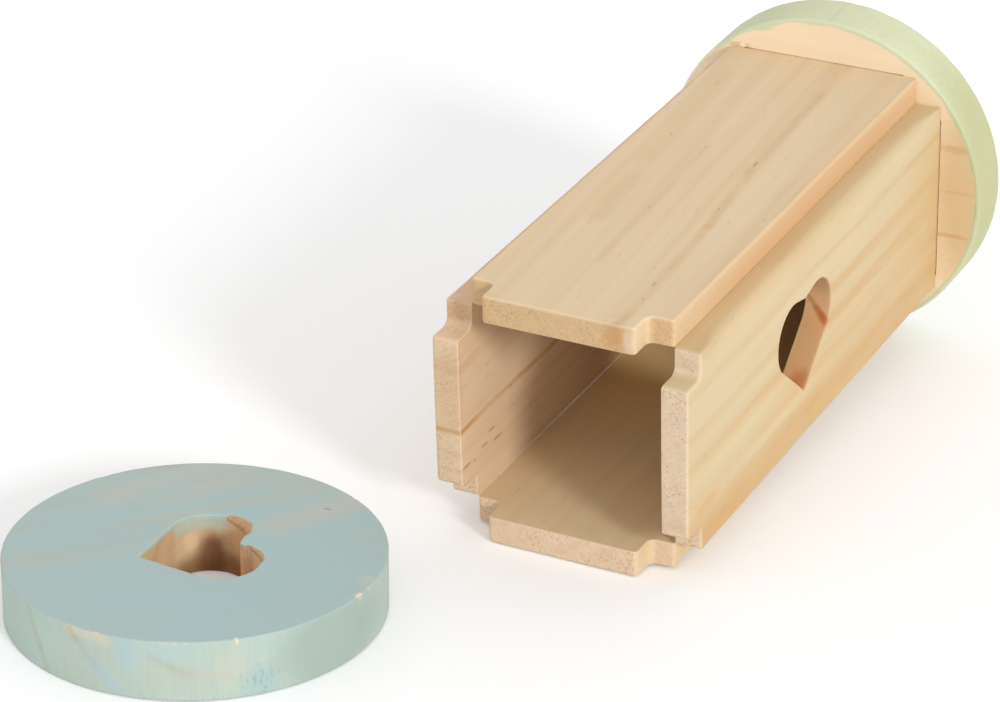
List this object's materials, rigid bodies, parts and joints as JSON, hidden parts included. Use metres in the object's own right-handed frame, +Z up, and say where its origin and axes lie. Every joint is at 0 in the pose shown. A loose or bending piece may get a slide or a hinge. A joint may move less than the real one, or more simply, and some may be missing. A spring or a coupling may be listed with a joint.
{
  "type": "wooden treat roller",
  "caption": "Square tube of pine boards tabbed into painted round ends, with heart cut-outs that drop treats as a small pet rolls it; one end is a push-on lid, here lying off beside the mouth.",
  "frame": {"origin": "middle of the footprint of tube and lid together, on the surface that they lie on", "axes": "+Y from the tube's open mouth to its fixed end, +X to the side of the heart board, +Z up"},
  "size_m": [0.155, 0.2788, 0.0907],
  "materials": {
    "bare_pine": "bare sanded pine, pale pinkish beige with faint long grain",
    "bare_pine_yellow": "bare sanded pine, yellow cream with tan streaks along the grain",
    "green_washed_pine": "thin matt pale green paint on rim and outer face, bare pine inner face",
    "blue_washed_pine": "thin matt grey-blue paint with wood streaks showing, bare pine in the heart and underneath"
  },
  "bodies": {
    "tube": {"top_board": "bare_pine", "bottom_board": "bare_pine", "left_board": "bare_pine", "heart_board": "bare_pine_yellow", "fixed_end": "green_washed_pine"},
    "lid": {"lid": "blue_washed_pine"}
  },
  "joints": [
    {"name": "lid_lift", "type": "slide", "parent": "tube", "child": "lid", "axis": [0, 0, 1], "range_m": [0, 0.1]}
  ]
}
